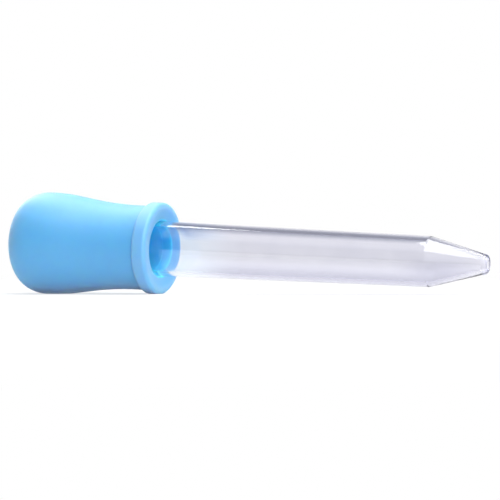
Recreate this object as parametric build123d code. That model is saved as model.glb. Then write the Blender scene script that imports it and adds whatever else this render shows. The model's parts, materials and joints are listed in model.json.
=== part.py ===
from build123d import *
import os
from math import asin, atan2, cos, degrees, hypot, radians, sin, tan

# Liquid dropper: a soft silicone squeeze bulb pushed over the end of a clear moulded tube.
# Millimetres, +Z up. Both pieces are turned shapes. Their sections are drawn in one plane, with x
# along the common axis (x = 0 at the rim of the bulb's mouth, the tip on the + side) and y as the
# radius. The dropper then lies down on its belly and collar, with the tip towards +X.

# ---- Driving dimensions -------------------------------------------------------------------------

# Bulb, outside
BULB_LENGTH = 37.75         # from the crown of the dome to the rim of the mouth
BELLY_RADIUS = 12.0
BELLY_FROM_CROWN = 8.4      # where the bulb is fattest
CROWN_REACH = 9.0           # how far out the dome stays flat: the pull of its curve at the crown
SHOULDER_REACH = 5.3        # the same at the belly, towards the crown
FLANK_REACH = 8.0           # the same at the belly, towards the waist
WAIST_RADIUS = 9.75         # finger grip above the collar
WAIST_FROM_MOUTH = 5.25
WAIST_REACH = 12.4          # the pull of the flank's curve at the waist

# Collar round the mouth
COLLAR_RADIUS = 10.6
COLLAR_THICKNESS = 3.55
COLLAR_FRONT_ROUND = 0.8
COLLAR_BACK_ROUND = 0.9
RIM_WIDTH = 0.6             # flat ring inside the front round, which a rack's hole carries
DISH_DEPTH = 0.65           # how far the mouth face slopes in, from the rim to the socket
DISH_ROUND = 1.5            # between the rim and the slope

# Bulb, inside
BULB_WALL = 2.2             # silicone between the cavity and the outside
NECK_REACH = 5.0            # the pull of the cavity's curve where it closes in on the throat
THROAT_LENGTH = 2.0         # short passage between the socket's seat and the cavity
LEAD_IN_RELIEF = 0.15       # the first stretch of the socket is this much wider than the rest
LEAD_IN_DEPTH = 2.9         # from the rim
MOUTH_ROUND = 0.3           # rounded edge between the slope and the socket
SOCKET_CLEARANCE = 0.05     # radial and end clearance of the tube in its socket

# Tube
TUBE_WALL = 1.05
SHANK_RADIUS = 6.3          # straight end that sits in the bulb
SHANK_LENGTH = 10.0         # how deep the tube goes into the bulb
SHANK_BEVEL = 0.35          # guides the shank into the socket
BARREL_LENGTH = 64.15       # from the rim of the mouth to the start of the cone
BARREL_END_RADIUS = 5.6
CONE_LENGTH = 13.0          # from the barrel to the end of the tip
CONE_HALF_ANGLE = 15.5      # degrees
BREAK_ROUND = 0.8           # edge between barrel and cone
ORIFICE_RADIUS = 1.3
TIP_ROUND = 0.7

# Lying down
REST_FLAT = 0.15            # how far the soft bulb is pressed flat where it lies on belly and collar

# ---- What follows from them ---------------------------------------------------------------------

CROWN = -BULB_LENGTH
BELLY = CROWN + BELLY_FROM_CROWN
WAIST = -WAIST_FROM_MOUTH
TUBE_BORE = SHANK_RADIUS - TUBE_WALL
SOCKET_RADIUS = SHANK_RADIUS + SOCKET_CLEARANCE
LEAD_IN_RADIUS = SOCKET_RADIUS + LEAD_IN_RELIEF
SEAT = -(SHANK_LENGTH + SOCKET_CLEARANCE)
THROAT_END = SEAT - THROAT_LENGTH


def corner(x, y):
    """The corner at x, y of the section being drawn."""
    return vertices().sort_by_distance((x, y, 0))[0]


# ---- Bulb ---------------------------------------------------------------------------------------


def dome_curve(inset=0.0):
    """From the crown round the shoulder to the belly, inset by a wall for the cavity."""
    return Bezier(
        (CROWN + inset, 0),
        (CROWN + inset, CROWN_REACH - inset),
        (BELLY - SHOULDER_REACH + inset / 2, BELLY_RADIUS - inset),
        (BELLY, BELLY_RADIUS - inset),
    )


def flank_curve():
    """From the belly down to the waist, level at both ends."""
    return Bezier(
        (BELLY, BELLY_RADIUS),
        (BELLY + FLANK_REACH, BELLY_RADIUS),
        (WAIST - WAIST_REACH, WAIST_RADIUS),
        (WAIST, WAIST_RADIUS),
    )


def collar_section():
    """Two rounded edges, a narrow flat rim, and a mouth face that slopes in to the socket."""
    dish_radius = COLLAR_RADIUS - COLLAR_FRONT_ROUND - RIM_WIDTH
    with BuildSketch() as section:
        with BuildLine():
            Polyline(
                (-COLLAR_THICKNESS, 0),
                (-COLLAR_THICKNESS, COLLAR_RADIUS),
                (0, COLLAR_RADIUS),
                (0, dish_radius),
                (-DISH_DEPTH, LEAD_IN_RADIUS),
                (-DISH_DEPTH, 0),
                close=True,
            )
        make_face()
        fillet(corner(-COLLAR_THICKNESS, COLLAR_RADIUS), COLLAR_BACK_ROUND)
        fillet(corner(0, COLLAR_RADIUS), COLLAR_FRONT_ROUND)
        fillet(corner(0, dish_radius), DISH_ROUND)
    return section.sketch


def socket_section():
    """What the tube needs: a wider lead-in, a close-fitting bore, a seat, and a throat beyond it."""
    with BuildSketch() as section:
        with BuildLine():
            Polyline(
                (THROAT_END, 0),
                (THROAT_END, TUBE_BORE),
                (SEAT, TUBE_BORE),
                (SEAT, SOCKET_RADIUS),
                (-LEAD_IN_DEPTH, SOCKET_RADIUS),
                (-LEAD_IN_DEPTH, LEAD_IN_RADIUS),
                (0, LEAD_IN_RADIUS),
                (0, 0),
                close=True,
            )
        make_face()
    return section.sketch


def cavity_section():
    """The air space: one wall inside the dome and belly, then closing in on the throat."""
    with BuildSketch() as section:
        with BuildLine():
            dome = dome_curve(BULB_WALL)
            cone = Bezier(
                dome @ 1,
                (BELLY + FLANK_REACH, BELLY_RADIUS - BULB_WALL),
                (THROAT_END - NECK_REACH, TUBE_BORE + NECK_REACH / 2),
                (THROAT_END, TUBE_BORE),
            )
            Polyline(cone @ 1, (THROAT_END, 0), dome @ 0)
        make_face()
    return section.sketch


def bulb_solid():
    """Dome, belly and waist in one sweep, a collar round the mouth, and the hollow inside."""
    with BuildSketch() as section:
        with BuildLine():
            dome = dome_curve()
            flank = flank_curve()
            neck_end = -COLLAR_THICKNESS / 2  # buried in the collar
            Polyline(flank @ 1, (neck_end, WAIST_RADIUS), (neck_end, 0), dome @ 0)
        make_face()
        add(collar_section())
        add(socket_section(), mode=Mode.SUBTRACT)
        add(cavity_section(), mode=Mode.SUBTRACT)
        fillet(corner(-DISH_DEPTH, LEAD_IN_RADIUS), MOUTH_ROUND)
    return revolve(section.sketch, Axis.X)


# ---- Tube ---------------------------------------------------------------------------------------


def tube_solid():
    """Straight shank, slightly tapered barrel, cone and tip, with one wall all along."""
    half_angle = radians(CONE_HALF_ANGLE)
    tip = BARREL_LENGTH + CONE_LENGTH
    tip_radius = BARREL_END_RADIUS - CONE_LENGTH * tan(half_angle)
    # The wall stays even round the break, so the inner cone starts a little before the outer one.
    inner_break = BARREL_LENGTH - TUBE_WALL * tan(half_angle / 2)
    barrel_end_bore = BARREL_END_RADIUS - TUBE_WALL
    orifice_start = inner_break + (barrel_end_bore - ORIFICE_RADIUS) / tan(half_angle)
    with BuildSketch() as section:
        with BuildLine():
            Polyline(
                (-SHANK_LENGTH, TUBE_BORE),
                (-SHANK_LENGTH, SHANK_RADIUS),
                (0, SHANK_RADIUS),
                (BARREL_LENGTH, BARREL_END_RADIUS),
                (tip, tip_radius),
                (tip, ORIFICE_RADIUS),
                (orifice_start, ORIFICE_RADIUS),
                (inner_break, barrel_end_bore),
                (0, TUBE_BORE),
                close=True,
            )
        make_face()
        chamfer(corner(-SHANK_LENGTH, SHANK_RADIUS), SHANK_BEVEL)
        fillet(corner(BARREL_LENGTH, BARREL_END_RADIUS), BREAK_ROUND)
        fillet(corner(inner_break, barrel_end_bore), BREAK_ROUND)
        fillet(corner(tip, tip_radius), TIP_ROUND)
    return revolve(section.sketch, Axis.X)


# ---- Lying down ---------------------------------------------------------------------------------


def resting_tilt():
    """Angle in degrees, tip down, at which belly and collar touch one flat surface together."""
    steps = 400
    dome = dome_curve()
    flank = flank_curve()
    skin = [curve @ (step / steps) for curve in (dome, flank) for step in range(steps + 1)]
    edge = Vector(-COLLAR_FRONT_ROUND, COLLAR_RADIUS - COLLAR_FRONT_ROUND)
    tilt = 0.0
    for _ in range(20):
        # Find the point of the belly that is lowest at this tilt, then tilt until the collar's
        # rounded front edge comes down to the same level.
        low = max(skin, key=lambda point: point.X * sin(tilt) + point.Y * cos(tilt))
        along = edge.X - low.X
        up = low.Y - edge.Y
        tilt = atan2(up, along) - asin(COLLAR_FRONT_ROUND / hypot(up, along))
    return degrees(tilt)


def pressed_flat(bulb):
    """The lying bulb with a small flat spot under its belly and one under its collar."""
    surface = bulb.bounding_box().min.Z + REST_FLAT
    return split(bulb, bisect_by=Plane.XY.offset(surface), keep=Keep.TOP).solid()


# Each piece is turned about its own axis first: the seam of the bulb's round faces then runs along
# the underside, and such shallow cuts come out right only where they cross that seam.
lie_down = Rot(0, resting_tilt(), 0) * Rot(-90, 0, 0)
pieces = {
    "bulb": pressed_flat(lie_down * bulb_solid()),
    "tube": lie_down * tube_solid(),
}
whole = Compound(list(pieces.values())).bounding_box()
to_origin = Pos(-whole.center().X, -whole.center().Y, -whole.min.Z)

os.makedirs("parts", exist_ok=True)
for name, solid in pieces.items():
    export_step(to_origin * solid, f"parts/{name}.step")
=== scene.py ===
import json
from math import cos, pi, radians, sin, tan

import bmesh
import bpy
from mathutils import Matrix, Vector


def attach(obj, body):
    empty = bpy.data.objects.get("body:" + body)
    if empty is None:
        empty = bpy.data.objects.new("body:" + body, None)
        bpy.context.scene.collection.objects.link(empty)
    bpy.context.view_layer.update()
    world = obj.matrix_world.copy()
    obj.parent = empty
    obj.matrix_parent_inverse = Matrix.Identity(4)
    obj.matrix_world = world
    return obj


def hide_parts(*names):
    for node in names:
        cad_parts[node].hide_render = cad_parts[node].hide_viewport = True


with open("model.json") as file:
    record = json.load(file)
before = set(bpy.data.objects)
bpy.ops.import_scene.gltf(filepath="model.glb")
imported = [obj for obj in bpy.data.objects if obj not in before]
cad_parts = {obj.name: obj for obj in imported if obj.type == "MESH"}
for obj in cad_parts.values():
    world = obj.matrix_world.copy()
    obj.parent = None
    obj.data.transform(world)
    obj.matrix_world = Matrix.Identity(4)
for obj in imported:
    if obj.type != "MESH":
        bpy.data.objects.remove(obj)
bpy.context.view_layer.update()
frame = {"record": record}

# ---- Camera -------------------------------------------------------------------------------------
# A long lens at the height of the dropper's axis. It looks level and from the tip's side, so that
# the collar's mouth face shows as a narrow ellipse and the tube comes towards the viewer.

MM = 0.001
CAMERA_AZIMUTH = radians(22.5)
CAMERA_ROLL = radians(0.4)
CAMERA_DISTANCE = 449.3     # mm from the mouth, along the line of sight
MOUTH_LEFT_OF_CENTRE = 19.84
MOUTH_ABOVE_CENTRE = 0.44

seat = next(mount for mount in frame["record"]["mounts"] if mount["name"] == "collar_seat")
axis = Vector(seat["axis"]).normalized()
mouth = Vector((seat["pos_m"][0], 0, seat["pos_m"][2]))

look = Vector((-sin(CAMERA_AZIMUTH), cos(CAMERA_AZIMUTH), 0))
to_the_right = Vector((cos(CAMERA_AZIMUTH), sin(CAMERA_AZIMUTH), 0))
camera = bpy.data.objects.new("camera", bpy.data.cameras.new("camera"))
camera.data.sensor_width = 36
camera.data.lens = 140.4
camera.data.clip_start = 0.01
camera.location = (
    mouth
    - look * CAMERA_DISTANCE * MM
    + to_the_right * MOUTH_LEFT_OF_CENTRE * MM
    - Vector((0, 0, MOUTH_ABOVE_CENTRE * MM))
)
camera.rotation_euler = (radians(90), CAMERA_ROLL, CAMERA_AZIMUTH)
bpy.context.scene.collection.objects.link(camera)
bpy.context.scene.camera = camera

# ---- Squeeze bulb -------------------------------------------------------------------------------
# One moulding of soft silicone, sky blue all through: dome, belly, waist and a rounded collar. It
# is cast in two halves over a core, and peeled off the core through its mouth. Its weight presses
# a small flat spot under the belly and one under the collar.

# In mm: x runs along the dropper from the mouth at 0, the tip on the + side; y is the radius.
CROWN = -37.75
CROWN_REACH = 9.0           # the reaches are how far the pull of each curve goes
BELLY = CROWN + 8.4
BELLY_RADIUS = 12.0
SHOULDER_REACH = 5.3
FLANK_REACH = 8.0
WAIST = -5.25
WAIST_RADIUS = 9.75
WAIST_REACH = 12.4
BULB_WALL = 2.2
COLLAR_RADIUS = 10.6
COLLAR_THICKNESS = 3.55
COLLAR_FRONT_ROUND = 0.8
COLLAR_BACK_ROUND = 0.84    # nearly all of the step down to the waist
DISH_RADIUS = 9.2           # the mouth face slopes in from here
DISH_DEPTH = 0.65
DISH_ROUND = 1.5
LEAD_IN_RADIUS = 6.5
LEAD_IN_DEPTH = 2.9
MOUTH_ROUND = 0.3
SOCKET_RADIUS = 6.35
SEAT = -10.05
THROAT_END = -12.05
THROAT_RADIUS = 5.25
NECK_REACH = 5.0

TURNING_STEPS = 160
CURVE_STEPS = 28
ROUNDING_STEPS = 8          # for each quarter turn of a rounded corner
SAME_POINT = 0.001
SHARP_EDGE = radians(35)

in_place = (
    Matrix.Translation(mouth) @ Vector((1, 0, 0)).rotation_difference(axis).to_matrix().to_4x4()
)


def section_mesh(name, curves, lines):
    """The section as one wire: curves have four control points each, lines any number of corners."""
    drawing = bpy.data.curves.new(name + "_section", "CURVE")
    drawing.dimensions = "3D"
    for start, pull_out, pull_in, end in curves:
        spline = drawing.splines.new("BEZIER")
        spline.resolution_u = CURVE_STEPS
        spline.bezier_points.add(1)
        for point, before, at, after in zip(
            spline.bezier_points, (start, pull_in), (start, end), (pull_out, end)
        ):
            point.handle_left_type = point.handle_right_type = "FREE"
            point.co = (*at, 0)
            point.handle_left = (*before, 0)
            point.handle_right = (*after, 0)
    for corners in lines:
        spline = drawing.splines.new("POLY")
        spline.points.add(len(corners) - 1)
        for point, (x, y) in zip(spline.points, corners):
            point.co = (x, y, 0, 1)
    holder = bpy.data.objects.new(name + "_section", drawing)
    mesh = bpy.data.meshes.new_from_object(holder)
    bpy.data.objects.remove(holder)
    bpy.data.curves.remove(drawing)
    return mesh


def turned_piece(name, curves, lines, roundings):
    """A solid turned from its section. roundings are (x, y, radius) of the corners to round."""
    mesh = section_mesh(name, curves, lines)
    shape = bmesh.new()
    shape.from_mesh(mesh)
    bpy.data.meshes.remove(mesh)
    bmesh.ops.remove_doubles(shape, verts=shape.verts, dist=SAME_POINT)
    for x, y, radius in roundings:
        corner = min(shape.verts, key=lambda v: (v.co - Vector((x, y, 0))).length)
        one, other = ((e.other_vert(corner).co - corner.co).normalized() for e in corner.link_edges)
        bend = one.angle(other)
        bmesh.ops.bevel(
            shape,
            geom=[corner],
            affect="VERTICES",
            offset=radius / tan(bend / 2),
            offset_type="OFFSET",
            segments=max(3, round(ROUNDING_STEPS * (pi - bend) / (pi / 2))),
            profile=0.5,
            material=-1,
        )
    bmesh.ops.spin(
        shape,
        geom=shape.verts[:] + shape.edges[:],
        cent=(0, 0, 0),
        axis=(1, 0, 0),
        angle=2 * pi,
        steps=TURNING_STEPS,
        use_merge=True,
    )
    bmesh.ops.remove_doubles(shape, verts=shape.verts, dist=SAME_POINT)
    bmesh.ops.recalc_face_normals(shape, faces=shape.faces)
    bmesh.ops.transform(shape, matrix=in_place @ Matrix.Scale(MM, 4), verts=shape.verts)
    return shape


def finished_piece(name, shape, material):
    """Puts the mesh in an object at the origin, with smooth rounds and true flats."""
    for face in shape.faces:
        face.smooth = True
    for edge in shape.edges:
        edge.smooth = edge.calc_face_angle(0) < SHARP_EDGE
    mesh = bpy.data.meshes.new(name)
    shape.to_mesh(mesh)
    shape.free()
    piece = bpy.data.objects.new(name, mesh)
    bpy.context.scene.collection.objects.link(piece)
    mesh.materials.append(material)
    even = piece.modifiers.new("true_flats", "WEIGHTED_NORMAL")
    even.keep_sharp = True
    return piece


def add_node(tree, kind, values=None, **settings):
    """A shader node with its settings and its plain input values."""
    node = tree.nodes.new(kind)
    for key, value in settings.items():
        setattr(node, key, value)
    for key, value in (values or {}).items():
        node.inputs[key].default_value = value
    return node


def dropper_frame(tree):
    """Object coordinates, then the same in the section's frame, and that frame's x and z."""
    turned = Vector((1, 0, 0)).rotation_difference(axis).to_euler()
    place = add_node(tree, "ShaderNodeTexCoord")
    centred = add_node(
        tree, "ShaderNodeMapping", {"Location": mouth, "Rotation": turned}, vector_type="TEXTURE"
    )
    tree.links.new(place.outputs["Object"], centred.inputs["Vector"])
    parts = add_node(tree, "ShaderNodeSeparateXYZ")
    tree.links.new(centred.outputs["Vector"], parts.inputs[0])
    return (
        place.outputs["Object"], centred.outputs["Vector"], parts.outputs["X"], parts.outputs["Z"]
    )


def noise(tree, position, scale, detail, roughness):
    """Fine or cloudy unevenness at a position, from 0 to 1."""
    node = add_node(
        tree, "ShaderNodeTexNoise", {"Scale": scale, "Detail": detail, "Roughness": roughness}
    )
    tree.links.new(position, node.inputs["Vector"])
    return node.outputs["Fac"]


def ramp(tree, value, start, full, low=0.0, high=1.0):
    """Goes from low to high as the value goes from start to full."""
    node = add_node(
        tree,
        "ShaderNodeMapRange",
        {"From Min": start, "From Max": full, "To Min": low, "To Max": high},
    )
    tree.links.new(value, node.inputs["Value"])
    return node.outputs["Result"]


def between(tree, value, start, full):
    """Rises from 0 to 1 as a length goes from start to full, both in mm."""
    return ramp(tree, value, start * MM, full * MM)


def combined(tree, operation, *values):
    """All the values taken together, such as their product or the highest of them."""
    result = values[0]
    for value in values[1:]:
        node = add_node(tree, "ShaderNodeMath", operation=operation)
        tree.links.new(result, node.inputs[0])
        tree.links.new(value, node.inputs[1])
        result = node.outputs[0]
    return result


def colour_mix(tree, factor, plain, full):
    """Goes from the plain colour to the full one. Each is a colour or another node's output."""
    node = add_node(tree, "ShaderNodeMix", data_type="RGBA")
    tree.links.new(factor, node.inputs["Factor"])
    for socket, colour in ((node.inputs[6], plain), (node.inputs[7], full)):
        if isinstance(colour, tuple):
            socket.default_value = colour
        else:
            tree.links.new(colour, socket)
    return node.outputs[2]


SILICONE_BLUE = (0.035, 0.365, 0.70, 1)
SILICONE_PALE = (0.055, 0.395, 0.73, 1)
COLLAR_BLUE = (0.11, 0.41, 0.71, 1)     # the thick rim is milkier
SOCKET_PAINTED_LIGHT = (0.0, 0.60, 1.0, 1)       # painted light: a brighter blue for light bouncing round inside the socket
CREASE_PAINTED_SHADE = (0.03, 0.33, 0.68, 1)     # painted shade in the crease behind the collar
CLOUD_SCALE = 160
GRAIN_SCALE = 2600
GRAIN_HEIGHT = 0.00004
SKIN_ROUGHNESS = (0.52, 0.68)

silicone = bpy.data.materials.new("bulb_silicone")
silicone.use_nodes = True
tree = silicone.node_tree
link = tree.links.new
shader = tree.nodes["Principled BSDF"]
for name, value in {
    "Subsurface Weight": 1.0,
    "Subsurface Radius": (0.35, 0.65, 1.0),
    "Subsurface Scale": 0.0035,
    "IOR": 1.65,
    "Specular IOR Level": 1.0,
    "Sheen Weight": 0.22,
    "Sheen Roughness": 0.5,
}.items():
    shader.inputs[name].default_value = value

place, centred, along, _ = dropper_frame(tree)
across = add_node(tree, "ShaderNodeVectorMath", {1: (0, 1, 1)}, operation="MULTIPLY")
link(centred, across.inputs[0])
from_axis = add_node(tree, "ShaderNodeVectorMath", operation="LENGTH")
link(across.outputs[0], from_axis.inputs[0])
radius = from_axis.outputs["Value"]

# Faint clouds all over, then the zones: the paler rim, painted shade in the crease behind the collar
# and painted light in the socket. For each, where it starts and where it is full, in mm.
colour = colour_mix(tree, noise(tree, place, CLOUD_SCALE, 3, 0.5), SILICONE_BLUE, SILICONE_PALE)
back = -COLLAR_THICKNESS
for zone_colour, edges in (
    (COLLAR_BLUE, ((along, back - 0.1, back + 0.3), (radius, 8.4, 9.4))),
    # painted shade in the crease
    (CREASE_PAINTED_SHADE, ((along, back - 0.5, back - 0.1), (along, back + 0.2, back))),
    # painted light inside the socket
    (SOCKET_PAINTED_LIGHT, ((along, SEAT - 3, SEAT - 2), (radius, 7.0, 6.6))),
):
    mask = combined(tree, "MULTIPLY", *(between(tree, *edge) for edge in edges))
    colour = colour_mix(tree, mask, colour, zone_colour)
link(colour, shader.inputs["Base Color"])

grain = noise(tree, place, GRAIN_SCALE, 4, 0.6)
link(ramp(tree, grain, 0, 1, *SKIN_ROUGHNESS), shader.inputs["Roughness"])
skin = add_node(tree, "ShaderNodeBump", {"Strength": 0.25, "Distance": GRAIN_HEIGHT})
link(grain, skin.inputs["Height"])
link(skin.outputs["Normal"], shader.inputs["Normal"])

dome = (
    (CROWN, 0), (CROWN, CROWN_REACH), (BELLY - SHOULDER_REACH, BELLY_RADIUS), (BELLY, BELLY_RADIUS)
)
flank = (
    (BELLY, BELLY_RADIUS),
    (BELLY + FLANK_REACH, BELLY_RADIUS),
    (WAIST - WAIST_REACH, WAIST_RADIUS),
    (WAIST, WAIST_RADIUS),
)
dome_inside = (
    (CROWN + BULB_WALL, 0),
    (CROWN + BULB_WALL, CROWN_REACH - BULB_WALL),
    (BELLY - SHOULDER_REACH + BULB_WALL / 2, BELLY_RADIUS - BULB_WALL),
    (BELLY, BELLY_RADIUS - BULB_WALL),
)
neck_inside = (
    (BELLY, BELLY_RADIUS - BULB_WALL),
    (BELLY + FLANK_REACH, BELLY_RADIUS - BULB_WALL),
    (THROAT_END - NECK_REACH, THROAT_RADIUS + NECK_REACH / 2),
    (THROAT_END, THROAT_RADIUS),
)
mouth_and_socket = (
    (WAIST, WAIST_RADIUS),
    (-COLLAR_THICKNESS, WAIST_RADIUS),
    (-COLLAR_THICKNESS, COLLAR_RADIUS),
    (0, COLLAR_RADIUS),
    (0, DISH_RADIUS),
    (-DISH_DEPTH, LEAD_IN_RADIUS),
    (-LEAD_IN_DEPTH, LEAD_IN_RADIUS),
    (-LEAD_IN_DEPTH, SOCKET_RADIUS),
    (SEAT, SOCKET_RADIUS),
    (SEAT, THROAT_RADIUS),
    (THROAT_END, THROAT_RADIUS),
)
shape = turned_piece(
    "bulb",
    curves=(dome, flank, dome_inside, neck_inside),
    lines=(mouth_and_socket,),
    roundings=(
        (0, COLLAR_RADIUS, COLLAR_FRONT_ROUND),
        (-COLLAR_THICKNESS, COLLAR_RADIUS, COLLAR_BACK_ROUND),
        (0, DISH_RADIUS, DISH_ROUND),
        (-DISH_DEPTH, LEAD_IN_RADIUS, MOUTH_ROUND),
    ),
)
# The flat spots: what would reach below the surface that it lies on is cut off level.
bmesh.ops.bisect_plane(
    shape,
    geom=shape.verts[:] + shape.edges[:] + shape.faces[:],
    plane_co=(0, 0, 0),
    plane_no=(0, 0, 1),
    clear_inner=True,
)
bmesh.ops.holes_fill(shape, edges=[e for e in shape.edges if e.is_boundary])
bulb = finished_piece("squeeze_bulb", shape, silicone)
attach(bulb, "root")
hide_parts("bulb")

# ---- Clear tube ---------------------------------------------------------------------------------
# Moulded clear plastic: a straight shank hidden in the bulb, a barrel that narrows a little, then a
# cone with a round hole in its tip. It is pushed into the bulb and can be pulled out for washing.

TUBE_WALL = 1.05
SHANK_RADIUS = 6.3
SHANK_LENGTH = 10.0
SHANK_ROUND = 0.35
BARREL_LENGTH = 64.15
BARREL_END_RADIUS = 5.6
CONE_LENGTH = 13.0
CONE_HALF_ANGLE = radians(15.5)
BREAK_ROUND = 0.8           # between barrel and cone, outside and inside
ORIFICE_RADIUS = 1.3
TIP_ROUND = 0.7
tip = BARREL_LENGTH + CONE_LENGTH

PLASTIC_PAINTED_GLOW = (0.925, 0.96, 1, 1)     # next to the mouth: painted light, lighter where the tube glows
PLASTIC_DULL = (0.89, 0.89, 0.93, 1)    # along the barrel and the cone
PLASTIC_HAZE_AND_PAINTED_SHADE = (0.79, 0.79, 0.855, 1)
# painted reflection of the bulb in the top of the tube
PLASTIC_PAINTED_BULB_REFLECTION = (0.62, 0.70, 0.85, 1)
PLASTIC_CAST = (0.3, 0.3, 0.75, 1)
CAST_DENSITY = 22.0
UNSHADED = (1, 1, 1, 1)
PLASTIC_SHADOW = (0.83, 0.83, 0.88, 1)
HAZE_SCALE = 90
GLOSSY_ROUGHNESS = (0.02, 0.06)
TRIMMED_ROUGHNESS = 0.4
# where a dark reflection is painted in the cone
DARK_REFLECTION_AT = Vector((66, 0, -2))
DARK_REFLECTION_STRETCH = Vector((0.35, 0, 1))

# Zones of the tube's looks, in mm: where each starts and where it is full.
PAST_MOUTH = (7, 18)        # along the tube
# painted shade along the underside
UNDERSIDE_PAINTED_SHADE = (-1.5, -5)      # up from the axis
DARK_REFLECTION_EDGE = (4, 1)         # from the middle of the painted dark reflection
# where the bulb's reflection is painted
BULB_REFLECTION_TOP = (2.2, 3.8)      # up from the axis
BULB_REFLECTION_START = (2.2, 4)      # along the tube
BULB_REFLECTION_END = (15, 4)
TRIMMED_END = (tip - 1.75, tip - 0.95)

plastic = bpy.data.materials.new("clear_plastic")
plastic.use_nodes = True
tree = plastic.node_tree
link = tree.links.new
shader = tree.nodes["Principled BSDF"]
shader.inputs["Transmission Weight"].default_value = 1
shader.inputs["IOR"].default_value = 1.56
place, centred, along, up = dropper_frame(tree)

# Patches of haze, painted shade along the underside, and a painted dark reflection in the cone.
haze = noise(tree, place, HAZE_SCALE, 3, 0.6)
stretched = add_node(tree, "ShaderNodeVectorMath", {1: DARK_REFLECTION_STRETCH}, operation="MULTIPLY")
link(centred, stretched.inputs[0])
dark_reflection = add_node(
    tree, "ShaderNodeVectorMath", {1: DARK_REFLECTION_AT * DARK_REFLECTION_STRETCH * MM}, operation="DISTANCE"
)
link(stretched.outputs[0], dark_reflection.inputs[0])
haze_and_painted_shade = combined(
    tree,
    "MAXIMUM",
    ramp(tree, haze, 0.5, 0.8, high=0.5),
    between(tree, up, *UNDERSIDE_PAINTED_SHADE),
    between(tree, dark_reflection.outputs["Value"], *DARK_REFLECTION_EDGE),
)
# Painted light: the plastic is left nearly clear next to the mouth, where the tube glows.
past_mouth = between(tree, along, *PAST_MOUTH)
tint_with_painted_light = colour_mix(
    tree, past_mouth, PLASTIC_PAINTED_GLOW, colour_mix(tree, haze_and_painted_shade, PLASTIC_DULL, PLASTIC_HAZE_AND_PAINTED_SHADE)
)
# A painted reflection of the bulb: the top is tinted with the bulb's blue where it leaves the mouth.
bulb_reflection_zone = combined(
    tree,
    "MULTIPLY",
    between(tree, up, *BULB_REFLECTION_TOP),
    between(tree, along, *BULB_REFLECTION_START),
    between(tree, along, *BULB_REFLECTION_END),
)
link(colour_mix(tree, bulb_reflection_zone, tint_with_painted_light, PLASTIC_PAINTED_BULB_REFLECTION), shader.inputs["Base Color"])

# Glossy, apart from the end of the tip, which is matt where it was trimmed off the runner.
trimmed = add_node(tree, "ShaderNodeMix", {"B": TRIMMED_ROUGHNESS})
link(between(tree, along, *TRIMMED_END), trimmed.inputs["Factor"])
link(ramp(tree, haze, 0.3, 0.7, *GLOSSY_ROUGHNESS), trimmed.inputs["A"])
link(trimmed.outputs["Result"], shader.inputs["Roughness"])

# Lamps shine straight through the wall, into the bulb's mouth and on to the floor.
path = add_node(tree, "ShaderNodeLightPath")
not_looked_at = combined(
    tree, "MAXIMUM", path.outputs["Is Shadow Ray"], path.outputs["Is Diffuse Ray"]
)
lets_through = add_node(tree, "ShaderNodeBsdfTransparent")
link(colour_mix(tree, past_mouth, UNSHADED, PLASTIC_SHADOW), lets_through.inputs["Color"])
both = add_node(tree, "ShaderNodeMixShader")
link(not_looked_at, both.inputs["Fac"])
link(shader.outputs["BSDF"], both.inputs[1])
link(lets_through.outputs["BSDF"], both.inputs[2])
link(both.outputs[0], tree.nodes["Material Output"].inputs["Surface"])
depth = add_node(
    tree, "ShaderNodeVolumeAbsorption", {"Color": PLASTIC_CAST, "Density": CAST_DENSITY}
)
link(depth.outputs[0], tree.nodes["Material Output"].inputs["Volume"])

tip_radius = BARREL_END_RADIUS - CONE_LENGTH * tan(CONE_HALF_ANGLE)
inner_break = BARREL_LENGTH - TUBE_WALL * tan(CONE_HALF_ANGLE / 2)
bore_end = BARREL_END_RADIUS - TUBE_WALL
orifice_start = inner_break + (bore_end - ORIFICE_RADIUS) / tan(CONE_HALF_ANGLE)
outline = (
    (-SHANK_LENGTH, THROAT_RADIUS),
    (-SHANK_LENGTH, SHANK_RADIUS),
    (0, SHANK_RADIUS),
    (BARREL_LENGTH, BARREL_END_RADIUS),
    (tip, tip_radius),
    (tip, ORIFICE_RADIUS),
    (orifice_start, ORIFICE_RADIUS),
    (inner_break, bore_end),
    (0, THROAT_RADIUS),
    (-SHANK_LENGTH, THROAT_RADIUS),
)
shape = turned_piece(
    "tube",
    curves=(),
    lines=(outline,),
    roundings=(
        (-SHANK_LENGTH, SHANK_RADIUS, SHANK_ROUND),
        (BARREL_LENGTH, BARREL_END_RADIUS, BREAK_ROUND),
        (tip, tip_radius, TIP_ROUND),
        (inner_break, bore_end, BREAK_ROUND),
    ),
)
tube = finished_piece("clear_tube", shape, plastic)
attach(tube, "root")
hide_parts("tube")

# ---- Floor and light ----------------------------------------------------------------------------
# A plain pale floor under a white surround, weak fill light, and four soft lamps: a broad one over
# the tube, one high behind the bulb, one high in front, and a low one that shines into the mouth.

FLOOR_SIZE = 6.0
FLOOR_GREY = (0.8, 0.8, 0.8, 1)
WHITE = (1, 1, 1, 1)
NEAR_SHARE = 0.65           # how much of plain white the floor shows next to the dropper
NEAR = 0.08
FAR = 0.3                   # from here on the floor shows plain white
FILL_LIGHT = 0.05
SIDE_LIGHT = 0.5            # from the tip's side, where it reaches into the bulb's mouth
TOP_LIGHT = 0.1
PATCH_BLUE = (0.70, 0.74, 1, 1)

shape = bmesh.new()
bmesh.ops.create_circle(shape, cap_ends=True, segments=96, radius=FLOOR_SIZE / 2)
mesh = bpy.data.meshes.new("floor")
shape.to_mesh(mesh)
shape.free()
floor = bpy.data.objects.new("floor", mesh)
bpy.context.scene.collection.objects.link(floor)


def mirrored_or_through(tree):
    """1 for what is seen in a reflection or through the clear plastic."""
    path = add_node(tree, "ShaderNodeLightPath")
    return combined(
        tree, "MAXIMUM", path.outputs["Is Glossy Ray"], path.outputs["Is Transmission Ray"]
    )


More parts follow.
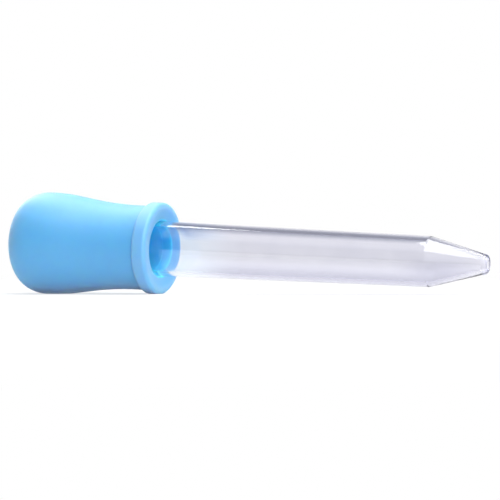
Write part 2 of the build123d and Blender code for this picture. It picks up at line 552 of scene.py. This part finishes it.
def seen_directly(tree):
    """1 for what the camera sees, also in a reflection or through the clear plastic."""
    path = add_node(tree, "ShaderNodeLightPath")
    return combined(tree, "MAXIMUM", path.outputs["Is Camera Ray"], mirrored_or_through(tree))


pale = bpy.data.materials.new("pale_floor")
pale.use_nodes = True
tree = pale.node_tree
link = tree.links.new
tree.nodes.remove(tree.nodes["Principled BSDF"])
matt_white = add_node(tree, "ShaderNodeBsdfDiffuse", {"Color": FLOOR_GREY})
white = add_node(tree, "ShaderNodeEmission", {"Color": WHITE, "Strength": 1})
place = add_node(tree, "ShaderNodeTexCoord")
distance = add_node(tree, "ShaderNodeVectorMath", operation="LENGTH")
link(place.outputs["Object"], distance.inputs[0])
share = combined(
    tree,
    "MULTIPLY",
    seen_directly(tree),
    ramp(tree, distance.outputs["Value"], NEAR, FAR, low=NEAR_SHARE),
)
both = add_node(tree, "ShaderNodeMixShader")
link(share, both.inputs["Fac"])
link(matt_white.outputs[0], both.inputs[1])
link(white.outputs[0], both.inputs[2])
link(both.outputs[0], tree.nodes["Material Output"].inputs["Surface"])
mesh.materials.append(pale)

world = bpy.data.worlds.new("white_surround")
bpy.context.scene.world = world
world.use_nodes = True
tree = world.node_tree
link = tree.links.new
sky = tree.nodes["Background"]
heading = add_node(tree, "ShaderNodeTexCoord")


def facing(toward, start, full, amount):
    """Rises from 0 to the amount as the view turns to a direction; start and full are cosines."""
    node = add_node(tree, "ShaderNodeVectorMath", {1: toward}, operation="DOT_PRODUCT")
    link(heading.outputs["Generated"], node.inputs[0])
    return ramp(tree, node.outputs["Value"], start, full, high=amount)


extra = combined(
    tree,
    "ADD",
    facing((1, 0, 0), 0.3, 1, SIDE_LIGHT),
    facing((0, 0, 1), 0, 1, TOP_LIGHT),
)
light = add_node(tree, "ShaderNodeMath", {1: FILL_LIGHT}, operation="ADD")
link(extra, light.inputs[0])
# The surround is white, with a bluish grey patch high up behind the bulb and one in front of it on
# the left. They show only in reflections and through the clear plastic.
patches = combined(
    tree,
    "MAXIMUM",
    facing((-0.45, 0.55, 0.70), cos(radians(38)), cos(radians(20)), 0.6),
    facing((-0.38, -0.87, 0.30), cos(radians(38)), cos(radians(22)), 0.87),
)
shown = combined(tree, "MULTIPLY", patches, mirrored_or_through(tree))
link(colour_mix(tree, shown, WHITE, PATCH_BLUE), sky.inputs["Color"])
backdrop = add_node(tree, "ShaderNodeMath", {0: 1.0}, operation="SUBTRACT")
link(shown, backdrop.inputs[1])
level = add_node(tree, "ShaderNodeMix")
link(seen_directly(tree), level.inputs["Factor"])
link(light.outputs[0], level.inputs["A"])
link(backdrop.outputs[0], level.inputs["B"])
link(level.outputs["Result"], sky.inputs["Strength"])


def soft_lamp(name, at, aim, size, power):
    """A rectangular soft box at a point, turned towards another."""
    lamp = bpy.data.objects.new(name, bpy.data.lights.new(name, "AREA"))
    lamp.data.shape = "RECTANGLE"
    lamp.data.size, lamp.data.size_y = size
    lamp.data.energy = power
    lamp.location = at
    lamp.visible_transmission = False   # no image of it inside the clear plastic
    lamp.rotation_euler = (Vector(aim) - Vector(at)).to_track_quat("-Z", "Y").to_euler()
    bpy.context.scene.collection.objects.link(lamp)


NECK_OF_BULB = (-0.02, 0, 0.01)
soft_lamp("overhead", (0.055, 0.02, 0.33), aim=(0.055, 0.021, 0), size=(0.18, 0.29), power=1.12)
soft_lamp("above_bulb", (-0.25, 0.19, 0.26), aim=(-0.04, 0, 0.01), size=(0.10, 0.34), power=1.0)
soft_lamp("front_top", (0.07, -0.167, 0.28), aim=NECK_OF_BULB, size=(0.16, 0.16), power=0.44)
soft_lamp(
    "at_the_mouth", (0.287, -0.308, 0.087), aim=NECK_OF_BULB, size=(0.16, 0.14), power=0.66
)

# ---- Colour and render settings -----------------------------------------------------------------

bpy.context.scene.view_settings.view_transform = "Standard"
# Light may turn round many times inside the clear wall before it leaves.
bpy.context.scene.cycles.max_bounces = 24
bpy.context.scene.cycles.glossy_bounces = 16
bpy.context.scene.cycles.transmission_bounces = 16
